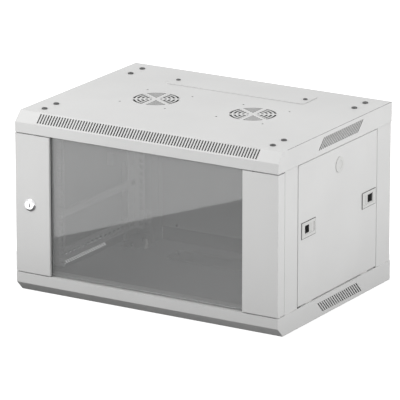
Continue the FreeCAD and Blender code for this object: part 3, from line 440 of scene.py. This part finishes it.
def finishes():
    """every finish by the name of its slot, made once; roof and base have their own, with painted shade
    inside
    """
    if not FINISHES:
        s = bpy.context.scene.cabinet_finish
        FINISHES["light_grey_paint"] = powder_coat("housing powder coat", s.paint)
        for node in ("roof_panel", "base_panel"):
            coat = node.replace("_", " ") + " powder coat"
            FINISHES[node] = powder_coat(coat, s.paint, inside=tray(node))
        FINISHES["rail_paint"] = powder_coat("rail powder coat", s.inner_paint, 0.45)
        FINISHES["zinc_steel"] = plated("zinc plated steel", s.zinc)
        FINISHES["dark_screws"] = plated("dark zinc plated screws", s.dark_zinc, 0.4)
        FINISHES["chrome"] = polished("polished chrome", s.chrome)
        FINISHES["tinted_glass"] = tinted_glass("smoked glass", s.glass, s.glass_depth)
        FINISHES["black_rubber"] = moulded("black rubber", s.rubber, 0.7, RUBBER_GRAIN)
        FINISHES["grey_plastic"] = moulded("grey latch plastic", s.latch)
        FINISHES["white_nylon"] = moulded("white nylon", s.nylon, 0.5)
    return FINISHES


def dress(obj, finish):
    obj.data.materials.clear()
    obj.data.materials.append(finishes()[finish])


def start():
    """object mode with nothing selected"""
    if bpy.context.object and bpy.context.object.mode != "OBJECT":
        bpy.ops.object.mode_set(mode="OBJECT")
    bpy.ops.object.select_all(action="DESELECT")


def settle(obj, name):
    """piece at the origin, unturned and unscaled, with its place in its mesh"""
    start()
    obj.select_set(True)
    bpy.context.view_layer.objects.active = obj
    bpy.ops.object.transform_apply(location=True, rotation=True, scale=True)
    obj.name = name
    obj.data.name = name
    return obj


def add_modifier(obj, kind, **values):
    """a modifier with these values, applied at once"""
    bpy.context.view_layer.objects.active = obj
    bpy.ops.object.modifier_add(type=kind)
    modifier = obj.modifiers[-1]
    for key, value in values.items():
        setattr(modifier, key, value)
    bpy.ops.object.modifier_apply(modifier=modifier.name)


def block(low, high):
    """a box between two corners, active and in its place"""
    start()
    middle = [(a + b) / 2.0 for a, b in zip(low, high)]
    bpy.ops.mesh.primitive_cube_add(size=1.0, location=middle)
    obj = bpy.context.object
    obj.scale = [abs(b - a) for a, b in zip(low, high)]
    return settle(obj, "block")


def pick(obj, kind, test):
    """edit mode with only the faces or edges that pass the test selected"""
    bpy.context.view_layer.objects.active = obj
    bpy.ops.object.mode_set(mode="EDIT")
    bpy.ops.mesh.select_mode(type=kind)
    bpy.ops.mesh.select_all(action="DESELECT")
    mesh = bmesh.from_edit_mesh(obj.data)
    for item in mesh.faces if kind == "FACE" else mesh.edges:
        if test(item):
            item.select_set(True)
    mesh.select_flush_mode()
    bmesh.update_edit_mesh(obj.data)


def pick_faces(obj, test):
    pick(obj, "FACE", test)


def pick_edges(obj, test):
    pick(obj, "EDGE", test)


def merge(pieces, name):
    """all the pieces joined into one object"""
    start()
    for obj in pieces:
        obj.select_set(True)
    bpy.context.view_layer.objects.active = pieces[0]
    if len(pieces) > 1:
        bpy.ops.object.join()
    return settle(bpy.context.object, name)


def copy_at(obj, offset, turn=None):
    """a copy with its own mesh, turned about the origin first"""
    start()
    obj.select_set(True)
    bpy.context.view_layer.objects.active = obj
    bpy.ops.object.duplicate(linked=False)
    other = bpy.context.object
    if turn:
        other.rotation_euler = turn
    other.location = offset
    return settle(other, "copy")


def smooth(obj, degrees=35.0):
    """smooth shading that keeps the edges sharper than an angle"""
    start()
    obj.select_set(True)
    bpy.context.view_layer.objects.active = obj
    bpy.ops.object.shade_smooth_by_angle(angle=math.radians(degrees))


def placed(obj, body, finish, *nodes):
    """a finished piece on its body, in place of the CAD nodes that it shows better"""
    dress(obj, finish)
    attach(obj, body)
    if nodes:
        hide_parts(*nodes)
    return obj


def solids(node):
    """lowest and highest corner of each separate solid in a CAD node, from its mesh"""
    points = [v.co.copy() for v in NODES[node].data.vertices]
    groups = list(range(len(points)))

    def root(k):
        while groups[k] != k:
            groups[k] = groups[groups[k]]
            k = groups[k]
        return k

    seen = {}
    for k, p in enumerate(points):
        key = tuple(round(c * 1e5) for c in p)
        if key in seen:
            groups[root(k)] = root(seen[key])
        seen[key] = k
    for face in NODES[node].data.polygons:
        first = root(face.vertices[0])
        for k in face.vertices[1:]:
            groups[root(k)] = first
    boxes = {}
    for k, p in enumerate(points):
        low, high = boxes.setdefault(root(k), (p.copy(), p.copy()))
        for axis in range(3):
            low[axis] = min(low[axis], p[axis])
            high[axis] = max(high[axis], p[axis])
    return [(low, high) for low, high in boxes.values()]


def pan_head(radius, height, crown, arm):
    """screw head that stands on the origin along +Z, with a crowned rim and a cross recess"""
    start()
    bpy.ops.mesh.primitive_cylinder_add(vertices=HEAD_SIDES, radius=radius, depth=height,
                                        location=(0.0, 0.0, height / 2.0))
    head = settle(bpy.context.object, "pan_head")
    pick_edges(head, lambda e: all(v.co.z > height * 0.99 for v in e.verts))
    bpy.ops.mesh.bevel(offset=crown, offset_type="OFFSET", segments=5, profile=0.6, affect="EDGES")
    start()
    low, reach, half = height * CROSS_FLOOR, radius * CROSS_REACH, arm / 2.0
    tool = merge([block((-reach, -half, low), (reach, half, height * 2.0)),
                  block((-half, -reach, low), (half, reach, height * 2.0))], "cross")
    bpy.context.view_layer.objects.active = tool
    pick_faces(tool, lambda f: f.calc_center_median().z < low * 1.01)
    bpy.ops.transform.resize(value=(CROSS_TAPER, CROSS_TAPER, 1.0), center_override=(0.0, 0.0, low))
    start()
    add_modifier(head, "BOOLEAN", operation="DIFFERENCE", solver="EXACT", use_self=True, object=tool)
    bpy.data.objects.remove(tool)
    smooth(head)
    return head


def threaded(radius, length, pitch):
    """shank that hangs from the origin along -Z, with ridges at the pitch of its thread"""
    start()
    bpy.ops.mesh.primitive_cylinder_add(vertices=SHANK_SIDES, radius=radius, depth=length,
                                        location=(0.0, 0.0, -length / 2.0))
    shank = settle(bpy.context.object, "shank")
    turns = max(2, int(length / pitch))
    for k in range(1, 2 * turns):
        start()
        pick_faces(shank, lambda f: True)
        z = -length * k / (2.0 * turns)
        bpy.ops.mesh.bisect(plane_co=(0.0, 0.0, z), plane_no=(0.0, 0.0, 1.0))
    start()
    step = length / (2.0 * turns)
    pick_edges(shank, lambda e: round(e.verts[0].co.z / step) % 2
               and abs(e.verts[0].co.z - e.verts[1].co.z) < 1e-6)
    bpy.ops.transform.resize(value=(SCREW_ROOT, SCREW_ROOT, 1.0), center_override=(0.0, 0.0, -length / 2.0))
    start()
    return shank


def screws(node, way):
    """finer heads and threads for every screw of a CAD node; way is where their heads point"""
    s = bpy.context.scene.cabinet_screw
    axis = 1 if way == "y" else 2
    side = (axis + 1) % 3
    boxes = solids(node)
    low, high = boxes[0]
    radius = (high[side] - low[side]) / 2.0
    height = radius * HEAD_HEIGHT
    length = high[axis] - low[axis] - height
    head = pan_head(radius, height, min(s.crown, height * CROWN_MOST), s.recess * radius / CROSS_HEAD)
    shank = threaded(radius * SHANK_RADIUS, length, SCREW_PITCH)
    one = merge([head, shank], "one_screw")
    out = []
    for low, high in boxes:
        middle = (low + high) / 2.0
        down = way == "-z" or way == "z" and high.z < MIDDLE_HEIGHT
        if way == "y":
            middle.y = high.y - height
        else:
            middle.z = low.z + height if down else high.z - height
        out.append(copy_at(one, middle, TURNS["-z" if down else way]))
    bpy.data.objects.remove(one)
    return placed(merge(out, node + "_detailed"), "cabinet", "dark_screws", node)


class CABINET_OT_screws(bpy.types.Operator):
    """Pan head screws of the roof, base, cable entry covers and rear panel"""
    bl_idname = "cabinet.screws"
    bl_label = "Screws"

    def execute(self, context):
        screws("roof_screws", "z")
        screws("base_screws", "-z")
        screws("rear_panel_screws", "y")
        screws("cable_cover_screws", "z")
        return {"FINISHED"}


def ring_cut(obj, z, radius):
    """a loop of edges round a turned piece at height z, drawn in to a radius"""
    pick_faces(obj, lambda f: True)
    bpy.ops.mesh.bisect(plane_co=(0.0, 0.0, z), plane_no=(0.0, 0.0, 1.0))
    start()
    rim = max(math.hypot(v.co.x, v.co.y) for v in obj.data.vertices if abs(v.co.z - z) < 1e-6)
    pick_edges(obj, lambda e: all(abs(v.co.z - z) < 1e-6 and math.hypot(v.co.x, v.co.y) > rim * 0.99
                                  for v in e.verts))
    bpy.ops.transform.resize(value=(radius / rim, radius / rim, 1.0), center_override=(0.0, 0.0, z))
    start()


def end_step(inward, rise):
    """the selected end face drawn in by inward and moved by rise, in edit mode"""
    bpy.ops.mesh.inset(thickness=max(inward, 1e-5))
    if rise:
        bpy.ops.transform.translate(value=(0.0, 0.0, rise))


def lock_body(radius, barrel, bore, proud, depth, pitch):
    """domed bezel over a threaded barrel, standing on the origin with its bore along Z"""
    start()
    edge = proud * BEZEL_EDGE
    bpy.ops.mesh.primitive_cylinder_add(vertices=LOCK_SIDES, radius=radius, depth=edge,
                                        location=(0.0, 0.0, edge / 2.0))
    body = settle(bpy.context.object, "lock_body")
    pick_faces(body, lambda f: f.normal.z > 0.9)
    land = radius - bore
    for inward, rise in BEZEL_DOME:
        end_step(land * inward, proud * rise)
    end_step(land * BEZEL_FLAT - BEZEL_STEP, 0.0)
    end_step(BEZEL_STEP, -proud * BEZEL_DIP)
    bpy.ops.mesh.delete(type="FACE")
    start()
    pick_faces(body, lambda f: f.normal.z < -0.9)
    end_step(radius - barrel, 0.0)
    bpy.ops.mesh.extrude_region_move(TRANSFORM_OT_translate={"value": (0.0, 0.0, -depth)})
    bpy.ops.mesh.inset(thickness=barrel - bore)
    bpy.ops.mesh.delete(type="FACE")
    start()
    pick_edges(body, lambda e: e.is_boundary)
    bpy.ops.mesh.bridge_edge_loops()
    start()
    for k in range(1, int((depth - BARREL_END) / pitch)):
        ring_cut(body, -BARREL_START - pitch * (k - 0.5), barrel)
        ring_cut(body, -BARREL_START - pitch * k, barrel * BARREL_ROOT)
    smooth(body, 30.0)
    return body


class CABINET_OT_lock(bpy.types.Operator):
    """Domed bezel and threaded barrel of the door lock"""
    bl_idname = "cabinet.lock"
    bl_label = "Door lock"

    def execute(self, context):
        s = context.scene.cabinet_lock
        low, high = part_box("lock_housing")
        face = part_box("door_lock_strip")[0].y
        plug_low, plug_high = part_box("lock_plug")
        proud = face - SEAT - low.y
        bore = (plug_high.x - plug_low.x) / 2.0 + SEAT / 2.0
        body = lock_body(LOCK_RIM, LOCK_BARREL, bore, proud, high.y - face + SEAT, s.thread)
        middle = (plug_low + plug_high) / 2.0
        turned = copy_at(body, (middle.x, face - SEAT, middle.z), (math.pi / 2.0, 0.0, 0.0))
        bpy.data.objects.remove(body)
        turned.name = "lock_housing_detailed"
        smooth(turned, 30.0)
        placed(turned, "door", "chrome", "lock_housing")
        return {"FINISHED"}


class CABINET_OT_glass(bpy.types.Operator):
    """Smoked pane with ground edges"""
    bl_idname = "cabinet.glass"
    bl_label = "Door glass"

    def execute(self, context):
        s = context.scene.cabinet_glass
        pane = block(*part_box("door_glass"))
        pick_edges(pane, lambda e: True)
        bpy.ops.mesh.bevel(offset=s.edge, offset_type="OFFSET", segments=2, profile=0.5, affect="EDGES")
        start()
        placed(pane, "door", "tinted_glass", "door_glass")
        return {"FINISHED"}


def latch_shade_gasket(low, high, ring, side):
    """black rubber ring round the proud face of a latch, whose dark also stands in for painted shade in the
    gap round it
    """
    face = high.x if side > 0 else low.x
    ends = sorted((face - side * SHADE_GASKET_DEPTH, face - side * SHADE_GASKET_BACK))
    gasket = block((ends[0], low.y - ring, low.z - ring), (ends[1], high.y + ring, high.z + ring))
    pick_faces(gasket, lambda f: abs(f.normal.x) > 0.9)
    bpy.ops.mesh.inset(thickness=ring - SHADE_GASKET_PLAY)
    bpy.ops.mesh.bridge_edge_loops()
    start()
    pick_edges(gasket, lambda e: abs(e.verts[0].co.x - e.verts[1].co.x) < 1e-6)
    bpy.ops.mesh.bevel(offset=SHADE_GASKET_ROUND, segments=2, profile=0.5, affect="EDGES")
    start()
    smooth(gasket, 50.0)
    return gasket


def thumb_cup(low, high, wall, ribs, side):
    """dark cup in the slide of a latch, open to the side of the cabinet, with grip ribs on its floor; its
    dark is partly the dark plastic of the latch and partly painted shade of the deep recess
    """
    cup = block(low, high)
    pick_faces(cup, lambda f: f.normal.x * side > 0.9)
    bpy.ops.mesh.delete(type="FACE")
    start()
    add_modifier(cup, "SOLIDIFY", thickness=wall, offset=-1.0, use_even_offset=True)
    parts = [cup]
    floor = low.x + wall if side > 0 else high.x - wall
    pitch = (high.y - low.y - 2.0 * wall) / (ribs + 1)
    ends = sorted((floor - side * wall * 0.5, floor + side * RIB_HEIGHT))
    for k in range(ribs):
        y = low.y + wall + pitch * (k + 1)
        rib = block((ends[0], y - pitch * RIB_HALF_WIDTH, low.z + RIB_SHORTER),
                    (ends[1], y + pitch * RIB_HALF_WIDTH, high.z - RIB_SHORTER))
        pick_faces(rib, lambda f: f.normal.x * side > 0.9)
        bpy.ops.transform.resize(value=RIB_TOP, center_override=(floor, y, (low.z + high.z) / 2.0))
        start()
        parts.append(rib)
    whole = merge(parts, "thumb_cup")
    smooth(whole, 30.0)
    return whole


def cup_corners(slide, side, way):
    """lowest and highest corner of the cup in a slide whose tip points way along the cabinet"""
    low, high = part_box(slide)
    face = high.x if side > 0 else low.x
    tip = low.y if way < 0 else high.y
    first = tip - way * (CUP_FROM_TIP + CUP_ROOM)
    middle = (low.z + high.z) / 2.0
    half = CUP_HALF_HEIGHT - CUP_ROOM
    x = sorted((face - side * (CUP_DEPTH - CUP_ROOM), face - side * CUP_ROOM))
    y = sorted((first, first - way * (CUP_LENGTH - 2.0 * CUP_ROOM)))
    return Vector((x[0], y[0], middle - half)), Vector((x[1], y[1], middle + half))


class CABINET_OT_latches(bpy.types.Operator):
    """Black rubber ring and dark thumb cup of each side latch; their dark also stands in for painted shade
    round the latch face and deep in its recess
    """
    bl_idname = "cabinet.latches"
    bl_label = "Side latches"

    def execute(self, context):
        s = context.scene.cabinet_latch
        for name, side in (("right", 1.0), ("left", -1.0)):
            for low, high in solids("latch_frames_" + name):
                end = "front" if low.y < 0.0 else "rear"
                # painted shade: the dark ring round the latch face stands in partly for the shadow in its
                # gap
                ring = latch_shade_gasket(low, high, s.ring, side)
                ring.name = end + "_latch_gasket_" + name
                placed(ring, "side_panel_" + name, "black_rubber")
            for end, way in (("front", -1.0), ("rear", 1.0)):
                low, high = cup_corners(end + "_latch_slide_" + name, side, way)
                # painted shade: the dark cup darkens the recess of the slide beyond its own plastic
                cup = thumb_cup(low, high, s.wall, s.ribs, side)
                cup.name = end + "_latch_thumb_cup_" + name
                placed(cup, end + "_latch_" + name, "black_rubber")
        return {"FINISHED"}


class CABINET_OT_spring(bpy.types.Operator):
    """Coil spring of the upper hinge pin"""
    bl_idname = "cabinet.spring"
    bl_label = "Hinge spring"

    def execute(self, context):
        s = context.scene.cabinet_spring
        low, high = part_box("hinge_pin_spring")
        coil = (high.x - low.x) / 2.0 - s.wire
        length = high.z - low.z
        start()
        bpy.ops.mesh.primitive_circle_add(vertices=WIRE_SIDES, radius=s.wire, location=(coil, 0.0, s.wire),
                                          rotation=(math.pi / 2.0, 0.0, 0.0))
        spring = settle(context.object, "hinge_pin_spring_detailed")
        steps = COIL_STEPS * s.turns
        add_modifier(spring, "SCREW", angle=math.radians(360.0 * s.turns),
                     screw_offset=length - 2.0 * s.wire, steps=steps, render_steps=steps,
                     use_merge_vertices=False)
        pick_edges(spring, lambda e: e.is_boundary)
        bpy.ops.mesh.edge_face_add()
        start()
        pick_faces(spring, lambda f: True)
        bpy.ops.mesh.normals_make_consistent(inside=False)
        start()
        spring.location = ((low.x + high.x) / 2.0, (low.y + high.y) / 2.0, low.z)
        settle(spring, "hinge_pin_spring_detailed")
        smooth(spring, 50.0)
        placed(spring, "door", "zinc_steel", "hinge_pin_spring")
        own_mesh(spring)
        return {"FINISHED"}


class CABINET_OT_finish_frame(bpy.types.Operator):
    """Give every CAD piece its own finish"""
    bl_idname = "cabinet.finish_frame"
    bl_label = "Finish the housing"

    def execute(self, context):
        for part in frame["record"]["subparts"]:
            own = part["node"] in finishes()
            dress(NODES[part["node"]], part["node"] if own else part["material_slot"])
        return {"FINISHED"}


class CABINET_OT_stage(bpy.types.Operator):
    """Floor, reflecting card, cloth, lamps and camera"""
    bl_idname = "cabinet.stage"
    bl_label = "Stage"

    def execute(self, context):
        s = context.scene.cabinet_stage
        start()
        bpy.ops.mesh.primitive_plane_add(size=FLOOR_SIZE, location=(0.0, 0.0, 0.0))
        floor = context.object
        floor.name = "studio_floor"
        floor.data.materials.append(studio_white())
        grey_card()
        dark_cloth()
        for name, setting, place, target, size in LAMPS:
            lamp(name, place, target, size, getattr(s, setting))
        context.scene.world = studio_world(s.world)
        context.scene.view_settings.view_transform = "Standard"
        context.scene.camera = studio_camera()
        return {"FINISHED"}


def emptied(material):
    """node tree of a material or a world, with no nodes in it"""
    material.use_nodes = True
    material.node_tree.nodes.clear()
    return material.node_tree


def seen_directly(tree, other, seen):
    """one strength for what the camera, a reflection or glass sees, another for the light on the object"""
    light_path = tree.nodes.new("ShaderNodeLightPath").outputs
    direct = calculated(tree, "MAXIMUM", light_path["Is Camera Ray"], light_path["Is Transmission Ray"])
    direct = calculated(tree, "MAXIMUM", direct, light_path["Is Glossy Ray"])
    mix = tree.nodes.new("ShaderNodeMapRange")
    mix.inputs["To Min"].default_value = other
    mix.inputs["To Max"].default_value = seen
    tree.links.new(direct, mix.inputs["Value"])
    return mix.outputs["Result"]


def studio_world(strength):
    """even white light from all round, plain white where it is seen"""
    world = bpy.data.worlds.new("studio")
    tree = emptied(world)
    out = tree.nodes.new("ShaderNodeOutputWorld")
    sky = tree.nodes.new("ShaderNodeBackground")
    sky.inputs["Color"].default_value = (1.0, 1.0, 1.0, 1.0)
    tree.links.new(seen_directly(tree, strength, 1.0), sky.inputs["Strength"])
    tree.links.new(sky.outputs["Background"], out.inputs["Surface"])
    return world


def studio_white():
    """pale floor that fades into the white behind it"""
    material = bpy.data.materials.new("studio floor")
    tree = emptied(material)
    out = tree.nodes.new("ShaderNodeOutputMaterial")
    matte = tree.nodes.new("ShaderNodeBsdfDiffuse")
    matte.inputs["Color"].default_value = (FLOOR_TONE, FLOOR_TONE, FLOOR_TONE, 1.0)
    glow = tree.nodes.new("ShaderNodeEmission")
    both = tree.nodes.new("ShaderNodeAddShader")
    tree.links.new(seen_directly(tree, 0.0, 1.0), glow.inputs["Strength"])
    tree.links.new(matte.outputs["BSDF"], both.inputs[0])
    tree.links.new(glow.outputs["Emission"], both.inputs[1])
    tree.links.new(both.outputs["Shader"], out.inputs["Surface"])
    return material


def stage_plane(name, place, scale, turn, hidden_from):
    """a plane on the floor that some rays pass by"""
    start()
    bpy.ops.mesh.primitive_plane_add(size=1.0, location=place)
    plane = bpy.context.object
    plane.name = name
    plane.scale = scale
    plane.rotation_euler = (0.0, 0.0, turn)
    for rays in hidden_from:
        setattr(plane, "visible_" + rays, False)
    return plane


def grey_card():
    """card on the floor in front, seen only in reflections, for the slanting edge across the door glass"""
    near, far = Vector(CARD_EDGE[0]), Vector(CARD_EDGE[1])
    along = far - near
    across = Vector((-along.y, along.x, 0.0)).normalized()
    middle = (near + far) / 2.0 + across * CARD_WIDTH / 2.0
    card = stage_plane("grey_card", middle, (CARD_WIDTH, CARD_LENGTH, 1.0), math.atan2(across.y, across.x),
                       ("camera", "diffuse", "transmission", "shadow"))
    material = bpy.data.materials.new("grey card")
    tree = emptied(material)
    out = tree.nodes.new("ShaderNodeOutputMaterial")
    glow = tree.nodes.new("ShaderNodeEmission")
    place = tree.nodes.new("ShaderNodeTexCoord")
    parts = tree.nodes.new("ShaderNodeSeparateXYZ")
    fade = tree.nodes.new("ShaderNodeMapRange")
    tree.links.new(place.outputs["Object"], parts.inputs["Vector"])
    tree.links.new(parts.outputs["X"], fade.inputs["Value"])
    for end, place_on_card, strength in (("Min", -0.5, CARD_GLOW[0]), ("Max", 0.5, CARD_GLOW[1])):
        fade.inputs["From " + end].default_value = place_on_card
        fade.inputs["To " + end].default_value = strength
    tree.links.new(fade.outputs["Result"], glow.inputs["Strength"])
    tree.links.new(glow.outputs["Emission"], out.inputs["Surface"])
    card.data.materials.append(material)
    return card


def dark_cloth():
    """cloth on the floor round the base that takes up light and that only the light meets"""
    low, high = CAD_BOX
    width, depth = (high[axis] - low[axis] + 2.0 * CLOTH_WIDER for axis in (0, 1))
    cloth = stage_plane("dark_cloth", (0.0, 0.0, CLOTH_HEIGHT), (width, depth, 1.0), 0.0,
                        ("camera", "glossy", "transmission", "shadow"))
    material, shader = new_material("dark cloth")
    shader.inputs["Base Color"].default_value = (CLOTH_TONE, CLOTH_TONE, CLOTH_TONE, 1.0)
    shader.inputs["Roughness"].default_value = 1.0
    cloth.data.materials.append(material)
    return cloth


def lamp(name, place, target, size, power):
    """square lamp that points at a target"""
    start()
    bpy.ops.object.light_add(type="AREA", location=place)
    light = bpy.context.object
    light.name = name
    light.data.shape = "SQUARE"
    light.data.size = size
    light.data.energy = power
    way = Vector(target) - Vector(place)
    light.rotation_euler = way.to_track_quat("-Z", "Y").to_euler()


def studio_camera():
    """camera in the place from which the photograph was taken"""
    data = bpy.data.cameras.new("camera")
    camera = bpy.data.objects.new("camera", data)
    bpy.context.scene.collection.objects.link(camera)
    camera.location = CAMERA_PLACE
    camera.rotation_euler = (math.radians(90.0 - CAMERA_DOWN), 0.0, math.radians(CAMERA_ROUND))
    data.lens = CAMERA_LENS
    data.sensor_width = CAMERA_SENSOR
    data.clip_end = 100.0
    return camera


class CABINET_PT_panel(bpy.types.Panel):
    """Settings and steps of the cabinet, in the sidebar of the 3D view"""
    bl_idname = "CABINET_PT_panel"
    bl_label = "Network cabinet"
    bl_space_type = "VIEW_3D"
    bl_region_type = "UI"
    bl_category = "Cabinet"

    def draw(self, context):
        layout = self.layout
        for key, kind in SETTINGS:
            settings = getattr(context.scene, key)
            for name in settings.bl_rna.properties.keys():
                if name not in ("rna_type", "name"):
                    layout.prop(settings, name)
        for operator in OPERATORS:
            layout.operator(operator.bl_idname)


OPERATORS = (CABINET_OT_finish_frame, CABINET_OT_screws, CABINET_OT_lock, CABINET_OT_glass,
             CABINET_OT_latches, CABINET_OT_spring, CABINET_OT_stage)
SETTINGS = (("cabinet_finish", FinishSettings), ("cabinet_screw", ScrewSettings),
            ("cabinet_glass", GlassSettings), ("cabinet_latch", LatchSettings),
            ("cabinet_lock", LockSettings), ("cabinet_spring", SpringSettings),
            ("cabinet_stage", StageSettings))


def register():
    for name, settings in SETTINGS:
        bpy.utils.register_class(settings)
        setattr(bpy.types.Scene, name, bpy.props.PointerProperty(type=settings))
    for cls in OPERATORS + (CABINET_PT_panel,):
        bpy.utils.register_class(cls)


def unregister():
    for cls in reversed(OPERATORS + (CABINET_PT_panel,)):
        bpy.utils.unregister_class(cls)
    for name, settings in reversed(SETTINGS):
        delattr(bpy.types.Scene, name)
        bpy.utils.unregister_class(settings)


def main():
    register()
    for operator in OPERATORS:
        group, call = operator.bl_idname.split(".")
        getattr(getattr(bpy.ops, group), call)()


if __name__ == "__main__":
    main()
